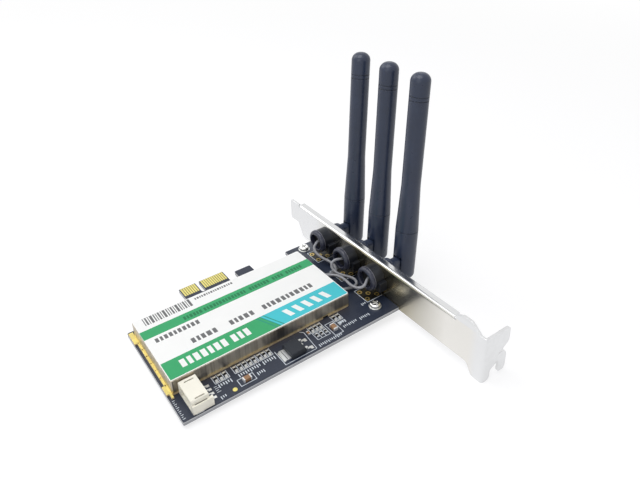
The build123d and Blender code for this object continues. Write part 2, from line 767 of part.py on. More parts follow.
def chip(x, y, length, width, height, end, along_x=False):
    """Body and the two metal ends of a chip component."""
    middle = length / 2 - end

    def piece(a0, a1):
        if along_x:
            return block(x + a0, x + a1, y - width / 2, y + width / 2, 0, height)
        return block(x - width / 2, x + width / 2, y + a0, y + a1, 0, height)

    return piece(-middle, middle), [piece(-length / 2, -middle), piece(middle, length / 2)]


def resistor_places():
    """Middles of the chip resistors."""
    places = []
    for start, count in zip(CHIP_ROW_STARTS, CHIP_ROW_COUNTS):
        places += [(start + i * CHIP_PITCH, BOARD_NEAR + CHIP_ROW_EDGE) for i in range(count)]
    for i in range(SECOND_ROW_COUNT):
        places.append((SECOND_ROW_START + i * CHIP_PITCH, BOARD_NEAR + SECOND_ROW_EDGE))
    return places


def chips():
    """Resistor bodies, capacitor bodies and all their metal ends."""
    resistors, capacitors, ends = [], [], []
    for x, y in resistor_places():
        body, caps = chip(x, y, CHIP_L, CHIP_W, CHIP_H, CHIP_END)
        resistors.append(body)
        ends += caps
    ceramics = [
        (CERAMIC_ALONG_X, CERAMIC_L, CERAMIC_W, CERAMIC_H, CERAMIC_END, True),
        (CERAMIC_ALONG_Y, CERAMIC_L, CERAMIC_W, CERAMIC_H, CERAMIC_END, False),
        (SMALL_CERAMIC, CHIP_L, CHIP_W, CHIP_H, CHIP_END, False),
    ]
    for (x, edge), length, width, height, end, along_x in ceramics:
        body, caps = chip(x, BOARD_NEAR + edge, length, width, height, end, along_x)
        capacitors.append(body)
        ends += caps
    return Compound(resistors), Compound(capacitors), Compound(ends)


def barrel(y):
    """Fixed sleeve inside the bracket, with a neck through the sheet and a locking lug."""
    sleeve = rod_x(BARREL_X0, BRACKET_X, y, AXIS_Z, BARREL_R)
    sleeve += rod_x(BRACKET_X, NECK_X1, y, AXIS_Z, NECK_R)
    lug_y = y - BARREL_R - LUG_OUT
    sleeve += block(BRACKET_X - LUG_L, BRACKET_X, lug_y, y, AXIS_Z - LUG_W, AXIS_Z)
    sleeve -= rod_x(BARREL_X0 - OVERCUT, BRACKET_X - BARREL_WALL, y, AXIS_Z, BARREL_BORE_R)
    return sleeve - rod_x(BARREL_X0, NECK_X1 + OVERCUT, y, AXIS_Z, STEM_R + RUN_CLEAR)


def barrel_cap(y):
    """Rounded ring on the sleeve's inner end."""
    ring = rod_x(CAP_X0, BARREL_X0, y, AXIS_Z, BARREL_CAP_R)
    ring = fillet(ring.edges().group_by(Axis.X)[0], BARREL_CAP_ROUND)
    ring = chamfer(ring.edges().group_by(Axis.X)[-1], SEAM_D)
    ring -= rod_x(CAP_X0 - OVERCUT, BARREL_X0 + OVERCUT, y, AXIS_Z, BARREL_BORE_R)
    mouth = ring.edges().group_by(Axis.X)[0].sort_by(SortBy.RADIUS)[0]
    return fillet(mouth, BARREL_CAP_LIP)


def lead_gland(y):
    """Plug in the sleeve that grips the lead."""
    gland = rod_x(GLAND_X1 - GLAND_L, GLAND_X1, y, AXIS_Z, BARREL_BORE_R)
    return gland - rod_x(GLAND_X1 - GLAND_L - OVERCUT, GLAND_X1 + OVERCUT, y, AXIS_Z, LEAD_R)


def knuckle(y):
    """Swivel: stem in the sleeve, ribbed collar and the eye of the tilt hinge."""
    turned = rod_x(STEM_HEAD_X1 - STEM_HEAD_L, STEM_HEAD_X1, y, AXIS_Z, STEM_HEAD_R)
    turned += rod_x(STEM_HEAD_X1, COLLAR_X0, y, AXIS_Z, STEM_R)
    collar = rod_x(COLLAR_X0, COLLAR_X1, y, AXIS_Z, COLLAR_R)
    collar = fillet(collar.edges(), COLLAR_RIB)
    middle = (COLLAR_X0 + COLLAR_X1) / 2
    for side in (-COLLAR_L / 6, COLLAR_L / 6):
        x = middle + side - COLLAR_RIB
        groove = rod_x(x, x + 2 * COLLAR_RIB, y, AXIS_Z, COLLAR_R + OVERCUT)
        collar -= groove - rod_x(x, x + 2 * COLLAR_RIB, y, AXIS_Z, COLLAR_R - COLLAR_RIB)
    y0, y1 = y - EYE_W / 2, y + EYE_W / 2
    eye = block(COLLAR_X1, HINGE_X, y0, y1, AXIS_Z - EYE_R, AXIS_Z + EYE_R)
    eye = fillet(eye.edges().filter_by(Axis.X), EYE_ROUND)
    eye += rod_y(HINGE_X, y0, y1, AXIS_Z, EYE_R)
    pin_hole = rod_y(HINGE_X, y0 - OVERCUT, y1 + OVERCUT, AXIS_Z, HINGE_PIN_R + RUN_CLEAR)
    return turned + collar + eye - pin_hole


def leaned(shape, y):
    """Antenna piece built upright at the origin, set on its hinge with the rods' lean."""
    return Pos(HINGE_X, y, AXIS_Z) * Rot(0, LEAN, 0) * shape


def antenna_base():
    """Forked lower end that turns on the hinge pin."""
    fork = rod_z(0, 0, -BASE_DROP, BASE_TOP, BASE_R)
    fork = fillet(fork.edges().group_by(Axis.Z)[0], BASE_ROUND)
    half = EYE_W / 2 + MOVE_GAP
    room = EYE_R + MOVE_GAP
    slot = rod_y(0, -half, half, 0, room)
    slot += block(-BASE_R - OVERCUT, 0, -half, half, -room, room)
    slot += block(-BASE_R - OVERCUT, room, -half, half, -BASE_DROP - OVERCUT, 0)
    fork -= slot
    fork -= hinge_pin()
    return fork - rod_z(0, 0, BASE_TOP - WHIP_SEAT, BASE_TOP + OVERCUT, WHIP_R)


def hinge_pin():
    """Pin pressed into blind holes in the fork's cheeks."""
    return rod_y(0, -HINGE_PIN_L / 2, HINGE_PIN_L / 2, 0, HINGE_PIN_R)


def antenna_sheath():
    """Flared tube from the base to the tip, with a groove at each seam and one below the tip."""
    profile = outline(
        [
            (BORE_R, BASE_TOP),
            (BASE_R, BASE_TOP),
            (SHEATH_R, FLARE_TOP),
            (SHEATH_R, TIP_START),
            (BORE_R, TIP_START),
        ]
    )
    tube = revolve(Plane.XZ * profile, Axis.Z)
    last = TIP_START - SEAM_W
    grooves = [(BASE_TOP, BASE_SEAM_W, BASE_R - BASE_SEAM_D)]
    grooves += [(z, SEAM_W, SHEATH_R - SEAM_D) for z in (last - GROOVE_PITCH, last)]
    for z, width, radius in grooves:
        tube -= rod_z(0, 0, z, z + width, BASE_R + OVERCUT) - rod_z(0, 0, z, z + width, radius)
    return tube


def antenna_tip():
    """Domed cap that closes the sheath."""
    tip = rod_z(0, 0, TIP_START, TIP_START + TIP_L, SHEATH_R)
    return fillet(tip.edges().group_by(Axis.Z)[-1], TIP_ROUND)


def radiator():
    """Brass whip standing in the base, inside the sheath."""
    return rod_z(0, 0, BASE_TOP - WHIP_SEAT, TIP_START - WHIP_GAP, WHIP_R)


def lead_route(i):
    """Points of one antenna lead, from its gland to its plug on the radio card.

    The loose points are given back from the bracket, along the board from the antenna, and up.
    """
    routes = [
        [
            (7.7, -0.3, 6.0),
            (8.2, -1.9, 4.6),
            (7.8, -3.8, 3.6),
            (7.0, -6.0, 2.8),
            (5.7, -8.4, 2.2),
            (5.2, -10.5, 1.8),
            (5.2, -12.5, 1.5),
            (5.8, -14.3, 1.3),
            (7.2, -15.5, 1.2),
            (9.4, -15.7, 1.3),
            (12.2, -15.2, 1.6),
            (16.0, -14.0, 2.4),
            (20.5, -11.8, 3.5),
        ],
        [
            (7.2, 1.3, 7.9),
            (9.0, 1.6, 6.9),
            (9.6, 1.2, 5.3),
            (9.6, -0.2, 4.2),
            (9.0, -2.0, 3.4),
            (7.6, -4.2, 2.9),
            (5.9, -6.1, 2.5),
            (4.7, -8.1, 2.2),
            (4.8, -10.0, 1.8),
            (6.0, -11.3, 1.5),
            (8.4, -11.3, 1.3),
            (11.3, -10.9, 1.6),
            (15.5, -10.0, 2.6),
            (19.5, -8.3, 3.4),
        ],
        [
            (6.1, -0.6, 6.7),
            (7.4, -0.7, 5.4),
            (8.8, 0.5, 4.5),
            (9.7, 2.5, 4.1),
            (10.0, 5.1, 4.0),
            (9.8, 8.0, 4.2),
            (10.1, 10.9, 4.4),
            (11.3, 13.2, 4.6),
            (13.4, 14.8, 4.6),
            (16.2, 16.0, 4.4),
            (20.0, 16.8, 4.0),
        ],
    ]
    plugs = [PLUG_YS[0], PLUG_YS[2], PLUG_YS[1]]
    y = ANTENNA_YS[i]
    crimp_x = PLUG_X + PLUG_R + PLUG_TAIL
    start = [(GLAND_X1, y, AXIS_Z), (BRACKET_X - LEAD_EXITS[i], y, AXIS_Z)]
    loose = [(BRACKET_X - back, y + along, z) for back, along, z in routes[i]]
    end = [(crimp_x + LEAD_STRAIGHT, plugs[i], LEAD_Z), (crimp_x, plugs[i], LEAD_Z)]
    return [*start, *loose, *end]


def antenna_lead(i):
    """Coaxial lead: straight runs joined by arcs as large as the runs allow."""
    points = [Vector(*point) for point in lead_route(i)]
    radii = []
    for before, here, after in zip(points, points[1:], points[2:]):
        turn = math.radians((here - before).get_angle(after - here))
        shorter = min((here - before).length, (after - here).length)
        radii.append(LEAD_RUN_SHARE * shorter / math.tan(turn / 2))
    print("lead", i + 1, "radii", [round(radius, 1) for radius in radii])
    path = FilletPolyline(*points, radius=radii)
    section = Plane(path @ 0, z_dir=path % 0) * Circle(LEAD_R)
    return sweep(section, path=path)


def build():
    """All pieces by node name."""
    parts["carrier_board"] = carrier_board()
    parts["edge_contacts"] = edge_contacts()
    parts["bracket"] = bracket()
    parts["board_screws"] = Compound([screw(x, y) for x, y in screw_places()])
    parts["screw_pads"] = screw_pads()
    parts["antenna_pads"] = antenna_pads()
    parts["shield_frame"] = shield_frame()
    parts["shield_cover"] = shield_cover()
    parts["label"] = label()
    parts["radio_card"] = radio_card()
    parts["radio_posts"] = radio_posts()
    parts["radio_socket"] = radio_socket()
    parts["radio_can"] = radio_can()
    parts["header_housing"] = header_housing()
    parts["header_pins"] = header_pins()
    parts["header_tabs"] = header_tabs()
    parts["regulator_body"] = regulator_body()
    parts["regulator_tab"] = regulator_tab()
    parts["regulator_leads"] = regulator_leads()
    parts["chip_resistors"], parts["chip_capacitors"], parts["chip_ends"] = chips()
    for i, y in enumerate(ANTENNA_YS):
        number = i + 1
        parts[f"coax_plug_{number}"] = coax_plug(PLUG_YS[i])
        parts[f"barrel_{number}"] = barrel(y)
        parts[f"barrel_cap_{number}"] = barrel_cap(y)
        parts[f"lead_gland_{number}"] = lead_gland(y)
        parts[f"antenna_lead_{number}"] = antenna_lead(i)
        parts[f"knuckle_{number}"] = knuckle(y)
        parts[f"antenna_base_{number}"] = leaned(antenna_base(), y)
        parts[f"hinge_pin_{number}"] = leaned(hinge_pin(), y)
        parts[f"antenna_sheath_{number}"] = leaned(antenna_sheath(), y)
        parts[f"antenna_tip_{number}"] = leaned(antenna_tip(), y)
        parts[f"radiator_{number}"] = leaned(radiator(), y)


build()
os.makedirs("parts", exist_ok=True)
for name, shape in parts.items():
    export_step(shape, f"parts/{name}.step")
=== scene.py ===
"""Looks of a wireless network card: materials, board print, label fields, studio and camera."""

import json
import math

import bpy
from mathutils import Matrix, Vector


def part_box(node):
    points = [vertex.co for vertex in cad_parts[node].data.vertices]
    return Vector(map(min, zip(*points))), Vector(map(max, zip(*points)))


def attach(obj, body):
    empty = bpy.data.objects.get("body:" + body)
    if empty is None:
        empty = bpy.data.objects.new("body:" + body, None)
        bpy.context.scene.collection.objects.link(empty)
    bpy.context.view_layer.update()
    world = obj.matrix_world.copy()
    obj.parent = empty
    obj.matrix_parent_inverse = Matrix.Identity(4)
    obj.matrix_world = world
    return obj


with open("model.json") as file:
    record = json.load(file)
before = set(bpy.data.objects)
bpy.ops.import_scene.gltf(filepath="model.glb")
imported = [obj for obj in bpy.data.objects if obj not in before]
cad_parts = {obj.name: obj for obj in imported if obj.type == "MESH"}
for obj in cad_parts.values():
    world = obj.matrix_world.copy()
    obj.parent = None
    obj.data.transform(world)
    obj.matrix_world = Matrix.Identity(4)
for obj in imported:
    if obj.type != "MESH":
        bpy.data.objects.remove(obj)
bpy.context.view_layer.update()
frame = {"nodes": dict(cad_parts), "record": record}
NODES = frame["nodes"]
MM = 0.001
ANTENNAS = (1, 2, 3)

# Camera, measured from the photograph: its place in millimetres, the image in pixels
EYE = (-76.14, -202.76, 163.66)
RIGHT = (0.83184, -0.55256, -0.05217)
DOWN = (-0.29976, -0.36818, -0.88011)
FOCAL_PX = 602.11
FRAME_PX = 640
SENSOR = 36.0
SHIFT = (0.05, -0.10)
CLIP_START = 0.01  # metres

# Studio, in metres and watts
LAMPS = {  # place, side and power
    "key": ((-0.10, -0.02, 0.68), 0.5, 2.3),
    "fill": ((-0.55, -0.25, 0.30), 0.5, 0.7),
    "rim": ((-0.20, 0.50, 0.50), 0.4, 1.0),
}
LAMP_AIM = (0.03, -0.04, 0.02)
SURROUND = 0.42  # strength of the surround as a light
FLOOR_REACH = 1.6
FLOOR_FADE = (0.25, 0.7)  # where the floor starts to turn white, and where it is white
FLOOR_GLOW = 0.72
FLOOR_SLOPE = (-0.0214, 0.0290)

# The rest of the sizes are in millimetres, and pairs are places along one axis
BOARD_T = 1.6
FLOOR_CLEAR = 0.03
FLOOR_CORNER = (-36.55, -12.8)  # corner of the board that rests on the floor

# Bracket: the painted dark reflection on its face spans BRACKET_Y and ends on the bend at FOLD_Z
BRACKET_Y = (-110.0, 10.0)
SHEET_X = (59.3, 59.6)
FOLD_Z = (13.95, 14.3)

# Top of the painted gilt reflection at the shield's foot
GILT_REFLECTION_Z = (1.2, 1.6)

# Thickness of print and pads
INK_T = 0.01
SILK_T = 0.02
PAD_T = 0.03

# Fields of colour on the label
STRIPE_Y = (-28.2, -23.2)
STRIPE_INSET = 0.05
TITLE_FAR = -42.9
TITLE_EDGE = 0.35  # title field to the label's near edge
TITLE_INSET = 0.3
SPLIT_NEAR = 11.2  # slanted border between green and cyan, at its two ends
SPLIT_FAR = 6.9
DIAGONALS = (-1.8, -0.3, 1.2)  # thin slanted stripes, from that border
DIAGONAL_W = 0.5

# Rows of blocks on the label: near edge, far edge, gap, and widths in turn
DETAIL_ROW = (-40.3, -37.6, 0.75, (1.5, 1.1, 1.5, 1.8))
HEADING_ROW = (-32.0, -29.6, 0.65, (1.3, 1.0, 1.3))
BAR_ROW = (-20.9, -16.2, 0.5, (0.35, 0.7, 0.35, 1.0, 0.5))
CAPTION_ROW = (-18.4, -17.2, 0.4, (0.6, 0.8, 0.5))
TITLE_ROW = (-49.0, -45.0, 0.9, (2.0, 1.6, 2.0))
STRIPE_ROW = (-26.9, -24.9, 0.45, (0.95, 0.75, 1.1))
DETAIL_SPANS = ((10.9, 33.2), (-3.9, 5.6), (-20.0, -10.6))
HEADING_SPANS = ((-31.0, -13.8),)
BAR_SPANS = ((-30.8, -11.4),)
CAPTION_SPANS = ((-8.6, 9.0),)
TITLE_SPANS = ((-7.4, 0.6), (-28.2, -10.4))
STRIPE_SPANS = ((-17.2, -10.0), (-8.4, 10.6), (12.4, 22.0), (23.6, 29.0), (30.4, 38.4))

# Slanted blocks in the cyan field
SLANT_X = 15.6
SLANT_Y = (-49.6, -45.2)
SLANT_W = 2.2
SLANT_LEAN = 1.4
SLANT_PITCH = 4.4
SLANT_COUNT = 5

# Rows of chips: middle of the first chip along X, and how many there are
CHIP_ROWS = ((-19.2, 3), (-11.1, 5), (-0.9, 3), (22.8, 3), (33.9, 2))
CHIP_PITCH = 1.95

# White print on the board
SILK_LINE = 0.24
RULE_W = 0.2
STROKE_HEIGHTS = (1.0, 0.7, 0.7, 0.9, 0.7)
ROW_Y = (-56.7, -53.0)
ROW_NOTE_Y = (-59.3, -57.5)
ROW_NOTE_START = 0.5
ROW_NOTE_W = 0.4
ROW_NOTE_PITCH = 0.95
SECOND_ROW_X = 22.8
SECOND_ROW_Y = (-60.6, -57.0)
SECOND_ROW_LINES = 4
SECOND_RULE_X = (21.8, 27.8)
BOXES = ((-13.3, -6.8, -63.3, -59.7), (28.5, 32.5, -62.9, -55.6))  # along X, then along Y
REG_LINE = ((18.4, -52.9), (19.6, -54.3), (18.8, -63.9))  # bent line beside the regulator
REG_CORNER = (4.8, -63.9)
REG_SIDE_W = 0.25
REG_SIDE_FAR = -56.0
NOTES = (  # along X, then along Y
    (-21.4, -18.7, -64.2, -62.8),
    (-5.6, -2.4, -62.4, -60.8),
    (20.4, 31.6, -64.2, -62.8),
    (34.0, 37.0, -59.0, -57.4),
    (34.0, 40.6, -61.6, -60.2),
    (42.0, 47.4, -61.8, -60.4),
    (47.8, 50.0, -55.8, -54.4),
)
NOTE_W = 0.35
NOTE_PITCH = 0.85
LADDERS = ((-36.0, -35.0, -63.9, 11), (-21.4, -19.9, -60.6, 4))  # along X, near end and rungs
RUNG_W = 0.22
RUNG_PITCH = 0.9
RUNG_SHORTER = 0.4

# Dark patches under the barrels: black print, darkened further as painted shadow of the barrels
PATCH_X = (50.85, 58.6)
PATCH_HALF = 4.15
PATCH_LINE = 0.25
PATCH_LINE_END = 58.5

# Solder pads of the chips, the header and the regulator
CHIP_PAD_HALF = 0.6
CHIP_PADS_Y = ((-56.55, -55.85), (-53.95, -53.25))
PIN_PAD_X = (-23.5, -22.3)
PIN_PAD_HALF = 0.55
PIN_FAR_Y = -55.75
PIN_PITCH = 2.0
PIN_COUNT = 4
REG_PAD_X = (17.1, 18.3)
REG_PAD_HALF = 0.8
REG_PADS_Y = (-57.7, -62.3)
TAB_PAD = (5.3, 5.8, -62.6, -57.4)

# Test pad
TEST_PAD_X = -15.7
TEST_PAD_EDGE = 2.1
TEST_PAD_R = 0.85

# Shaded insides: the header's are measured from its mouth, near end and top
SLOT_X = (1.8, 5.4)
SLOT_EDGE = 1.35
SLOT_W = 0.5
SLOT_DEPTH = 0.6
SLOT_SHADE_T = 0.1
STEP_X = (1.2, 5.8)
STEP_Y = (0.5, 0.8)
STEP_DROP = 1.8
STEP_SHADE_T = 0.05
GROOVE_X = (0.8, 1.1)  # from the regulator tab's free edge
GROOVE_INSET = 0.3
BAND_GAP = (30.25, 32.55, -52.48, -52.21)  # along X, then along Y
BAND_GAP_H = 0.9

# Ribbed rings on the collars: places along X are measured from the hinge
RING_X = (-13.7, -7.6)
RING_BORE = 3.75
RING_RIM = 4.0
RING_CROWN = 4.5
RING_LEVEL = 0.5  # share of the length before the dome starts
RING_RIBS = 5
RING_RIB_DEPTH = 0.4
RING_STEPS = 50

# Pale beads round the barrels, whose pale colour is a painted highlight along the seams
SEAM_W = 0.22
SEAM_SUNK = 0.3
SEAM_PROUD = 0.05


class Look:
    """Procedural material built round one principled shader."""

    def __init__(self, name, colour, rough, metallic=0.0):
        self.material = bpy.data.materials.new(name)
        self.material.use_nodes = True
        self.tree = self.material.node_tree
        self.shader = self.tree.nodes["Principled BSDF"]
        self.set("Base Color", (*colour, 1.0))
        self.set("Roughness", rough)
        self.set("Metallic", metallic)
        self.material.diffuse_color = (*colour, 1.0)

    def set(self, socket, value):
        """Sets a value on the shader itself."""
        self.shader.inputs[socket].default_value = value

    def node(self, kind, **values):
        """Adds a node and sets its options."""
        made = self.tree.nodes.new(kind)
        for key, value in values.items():
            setattr(made, key, value)
        return made

    def link(self, source, target):
        self.tree.links.new(source, target)

    def place(self, scale):
        """Object coordinates in millimetres, times a scale for each axis."""
        coords = self.node("ShaderNodeTexCoord")
        mapping = self.node("ShaderNodeMapping")
        mapping.inputs["Scale"].default_value = [s / MM for s in scale]
        self.link(coords.outputs["Object"], mapping.inputs["Vector"])
        return mapping.outputs["Vector"]

    def noise(self, scale, detail=3.0, roughness=0.55):
        """Noise with the given number of cells a millimetre along each axis."""
        made = self.node("ShaderNodeTexNoise")
        made.inputs["Scale"].default_value = 1.0
        made.inputs["Detail"].default_value = detail
        made.inputs["Roughness"].default_value = roughness
        self.link(self.place(scale), made.inputs["Vector"])
        return made.outputs["Fac"]

    def ramp(self, factor, stops, smooth=True):
        """Colours at places from 0 to 1."""
        made = self.node("ShaderNodeValToRGB")
        made.color_ramp.interpolation = "LINEAR" if smooth else "CONSTANT"
        marks = made.color_ramp.elements
        while len(marks) < len(stops):
            marks.new(1.0)
        for mark, (at, colour) in zip(marks, stops):
            mark.position = at
            mark.color = (*colour, 1.0)
        self.link(factor, made.inputs["Fac"])
        return made.outputs["Color"]

    def spread(self, factor, low, high):
        """A factor from 0.3 to 0.7, where noise mostly lies, stretched to run from low to high."""
        made = self.node("ShaderNodeMapRange")
        made.inputs["From Min"].default_value = 0.3
        made.inputs["From Max"].default_value = 0.7
        made.inputs["To Min"].default_value = low
        made.inputs["To Max"].default_value = high
        self.link(factor, made.inputs["Value"])
        return made.outputs["Result"]

    def blend(self, factor, first, second):
        """Colour between two sockets."""
        made = self.node("ShaderNodeMix", data_type="RGBA")
        self.link(factor, made.inputs[0])
        self.link(first, made.inputs[6])
        self.link(second, made.inputs[7])
        return made.outputs[2]

    def along(self, axis, low, high):
        """Factor that runs from 0 to 1 between two places in millimetres on one axis."""
        split = self.node("ShaderNodeSeparateXYZ")
        self.link(self.place((1, 1, 1)), split.inputs["Vector"])
        made = self.node("ShaderNodeMapRange")
        made.inputs["From Min"].default_value = low
        made.inputs["From Max"].default_value = high
        self.link(split.outputs[axis], made.inputs["Value"])
        return made.outputs["Result"]

    def facing_up(self):
        """Factor of 1 on faces that look up and 0 on upright ones."""
        coords = self.node("ShaderNodeTexCoord")
        split = self.node("ShaderNodeSeparateXYZ")
        self.link(coords.outputs["Normal"], split.inputs["Vector"])
        return split.outputs["Z"]

    def colour(self, socket):
        self.link(socket, self.shader.inputs["Base Color"])

    def rough(self, socket):
        self.link(socket, self.shader.inputs["Roughness"])

    def relief(self, height, distance, edge=0.0):
        """Bump of a depth in millimetres, over edges rounded by a radius in millimetres."""
        bump = self.node("ShaderNodeBump")
        bump.inputs["Distance"].default_value = distance * MM
        self.link(height, bump.inputs["Height"])
        if edge:
            bevel = self.node("ShaderNodeBevel", samples=6)
            bevel.inputs["Radius"].default_value = edge * MM
            self.link(bevel.outputs["Normal"], bump.inputs["Normal"])
        self.link(bump.outputs["Normal"], self.shader.inputs["Normal"])


def grey(value):
    return (value, value, value)


def tinted(colour, factor):
    return tuple(min(1.0, c * factor) for c in colour)


def moulded(name, colour, rough, grain, depth, edge=0.15, mottle=0.12, gloss=0.5):
    """Moulded plastic: slight mottling and a fine grain."""
    look = Look(name, colour, rough)
    look.set("Specular IOR Level", gloss)
    patches = look.noise((0.12, 0.12, 0.12), 4.0)
    look.colour(look.ramp(patches, [(0.3, tinted(colour, 1 - mottle)), (0.7, tinted(colour, 1 + mottle))]))
    look.rough(look.spread(look.noise((0.4, 0.4, 0.4)), rough - 0.05, rough + 0.07))
    look.relief(look.noise((grain, grain, grain), 2.0), depth, edge)
    return look.material


def ink(name, colour, rough=0.34):
    """Printed ink: flat colour with a faint mottle and the paper's grain."""
    return moulded(name, colour, rough, 6.0, 0.001, edge=0.0, mottle=0.03, gloss=0.25)


def metal(name, colour, rough, streak, depth, bright=1.0):
    """Rolled or plated metal: streaks along the grain, faint stains and uneven gloss."""
    edge, uneven = 0.12, 0.06
    look = Look(name, colour, rough, bright)
    stain = look.noise((0.06, 0.06, 0.06), 4.0)
    look.colour(look.ramp(stain, [(0.32, tinted(colour, 0.9)), (0.68, tinted(colour, 1.05))]))
    grain = look.noise(streak, 4.0, 0.6)
    look.rough(look.spread(grain, rough - uneven, rough + uneven))
    look.relief(grain, depth, edge)
    return look.material


def nickel_look():
    """Nickel-plated sheet: a bright rolled face, darkened to olive behind the antennas by a painted dark
    reflection.
    """
    cool, warm = (0.76, 0.765, 0.77), (0.77, 0.755, 0.72)
    middle, painted_reflection = (0.57, 0.55, 0.5), (0.38, 0.345, 0.25)
    look = Look("nickel", cool, 0.17, 1.0)
    stops = [
        (0.05, cool),
        (0.08, warm),
        (0.17, warm),
        (0.27, middle),
        (0.38, painted_reflection),
        (0.6, painted_reflection),
        (0.85, cool),
    ]
    # Along Y the face carries a painted dark olive reflection behind the antennas; it reaches up into the
    # bend below FOLD_Z, while the flange and tab keep the plain colour.
    face = look.ramp(look.along("Y", *BRACKET_Y), stops)
    grain = look.noise((0.5, 0.03, 0.5), 1.0)
    fold = look.ramp(grain, [(0.3, tinted(cool, 0.95)), (0.7, cool)])
    folded = look.along("Z", *FOLD_Z)
    look.colour(look.blend(look.along("X", *SHEET_X), look.blend(folded, face, fold), fold))
    look.rough(look.blend(folded, look.spread(grain, 0.21, 0.26), look.spread(grain, 0.12, 0.16)))
    look.relief(grain, 0.0012, 0.25)
    return look.material


def tinplate_look():
    """Tinplate with upright brown streaks, uneven gloss and a painted gilt reflection at the foot."""
    plain, dull = (0.5, 0.45, 0.37), (0.36, 0.32, 0.26)
    gilt, brown = (0.8, 0.62, 0.3), (0.6, 0.45, 0.21)
    look = Look("tinplate", plain, 0.26, 1.0)
    streak = look.noise((0.9, 0.9, 0.02), 2.0)
    wall = look.ramp(streak, [(0.35, dull), (0.6, plain)])
    # The foot of the wall takes gilt colours: a painted gilt reflection.
    foot = look.ramp(streak, [(0.35, brown), (0.6, gilt)])
    look.colour(look.blend(look.along("Z", *GILT_REFLECTION_Z), foot, wall))
    look.rough(look.spread(look.noise((0.3, 0.3, 0.05), 1.0), 0.28, 0.42))
    look.relief(look.noise((0.25, 0.25, 0.08), 1.0), 0.004, 0.2)
    return look.material


def gilt_look():
    """Gilt sheet with worn patches: lemon on the flat ledge, and a paler, brighter tan on the upright band
    as painted light on upright faces.
    """
    flat, worn_patch_and_painted_highlight = (0.84, 0.71, 0.22), (0.72, 0.6, 0.19)
    band, shade = (0.95, 0.75, 0.45), (0.74, 0.56, 0.3)
    look = Look("gilt_brass", flat, 0.4, 0.4)
    patches = look.noise((0.35, 0.35, 0.35), 3.0)
    ledge = look.ramp(patches, [(0.38, worn_patch_and_painted_highlight), (0.58, flat)])
    wall = look.ramp(patches, [(0.38, shade), (0.58, band)])
    # Upright faces get the paler tan: painted light on the same gilt as the ledge.
    look.colour(look.blend(look.facing_up(), wall, ledge))
    look.rough(look.spread(look.noise((0.5, 1.5, 3.0)), 0.34, 0.46))
    look.relief(patches, 0.006, 0.12)
    return look.material


def board_look():
    """Dark blue solder mask with faint tracks, and the pale laminate on the board's edge."""
    mask, track = (0.014, 0.021, 0.042), (0.019, 0.027, 0.052)
    dark, pale, line = (0.02, 0.022, 0.03), (0.36, 0.37, 0.4), (0.62, 0.63, 0.66)
    look = Look("board", mask, 0.34)
    tracks = look.node("ShaderNodeTexBrick", offset=0.37, squash=0.6)
    tracks.inputs["Scale"].default_value = 1.0
    tracks.inputs["Mortar Size"].default_value = 0.06
    tracks.inputs["Brick Width"].default_value = 3.1
    tracks.inputs["Row Height"].default_value = 0.95
    tracks.inputs["Color1"].default_value = (0, 0, 0, 1)
    tracks.inputs["Color2"].default_value = (0.12, 0.12, 0.12, 1)
    tracks.inputs["Mortar"].default_value = (1, 1, 1, 1)
    look.link(look.place((0.8, 0.8, 0.8)), tracks.inputs["Vector"])
    face = look.ramp(tracks.outputs["Color"], [(0.0, mask), (1.0, track)])
    height = look.along("Z", -BOARD_T, 0.0)
    stops = [(0.0, dark), (0.05, pale), (0.62, pale), (0.7, line), (0.86, line), (0.93, dark)]
    edge = look.ramp(height, stops)
    inside = look.ramp(height, [(0.0, grey(0)), (0.02, grey(1)), (0.98, grey(0))], False)
    look.colour(look.blend(inside, face, edge))
    look.rough(look.spread(look.noise((0.5, 0.5, 0.5)), 0.3, 0.42))
    look.relief(tracks.outputs["Color"], 0.006)
    return look.material


def make_looks():
    """Material for each of the record's material slots."""
    return {
        "board": board_look(),
        "gold": metal("gold", (0.8, 0.71, 0.24), 0.34, (0.6, 3.0, 3.0), 0.004),
        "nickel": nickel_look(),
        "screw_steel": metal("screw_steel", (0.78, 0.78, 0.77), 0.22, (1.0, 1.0, 1.0), 0.006),
        "tin": metal("tin", (0.68, 0.69, 0.68), 0.4, (1.5, 1.5, 1.5), 0.012),
        "gilt_brass": gilt_look(),
        "tinplate": tinplate_look(),
        "label_paper": moulded(
            "label_paper", (0.94, 0.945, 0.94), 0.36, 6.0, 0.001, edge=0.0, mottle=0.015
        ),
        "radio_board": moulded("radio_board", (0.02, 0.12, 0.06), 0.35, 2.0, 0.01),
        "black_plastic": moulded("black_plastic", (0.007, 0.007, 0.008), 0.5, 6.0, 0.01),
        "ivory_plastic": moulded(
            "ivory_plastic", (0.95, 0.92, 0.81), 0.36, 5.0, 0.006, edge=0.2, mottle=0.04
        ),
        "chip_plastic": moulded("chip_plastic", (0.024, 0.028, 0.036), 0.5, 9.0, 0.012, gloss=0.25),
        "resistor_ceramic": moulded("resistor_ceramic", (0.012, 0.012, 0.015), 0.25, 4.0, 0.006),
        "capacitor_ceramic": moulded("capacitor_ceramic", (0.33, 0.18, 0.09), 0.4, 6.0, 0.01),
        "barrel_plastic": moulded(
            "barrel_plastic", (0.009, 0.011, 0.017), 0.32, 5.0, 0.012, edge=0.3, gloss=0.4
        ),
        "lead_jacket": moulded("lead_jacket", (0.3, 0.305, 0.33), 0.35, 3.0, 0.01, edge=0.0),
        "antenna_plastic": moulded("antenna_plastic", (0.02, 0.03, 0.062), 0.32, 5.0, 0.012, edge=0.3),
        "whip_brass": metal("whip_brass", (0.75, 0.58, 0.25), 0.3, (3.0, 3.0, 0.3), 0.01),
    }


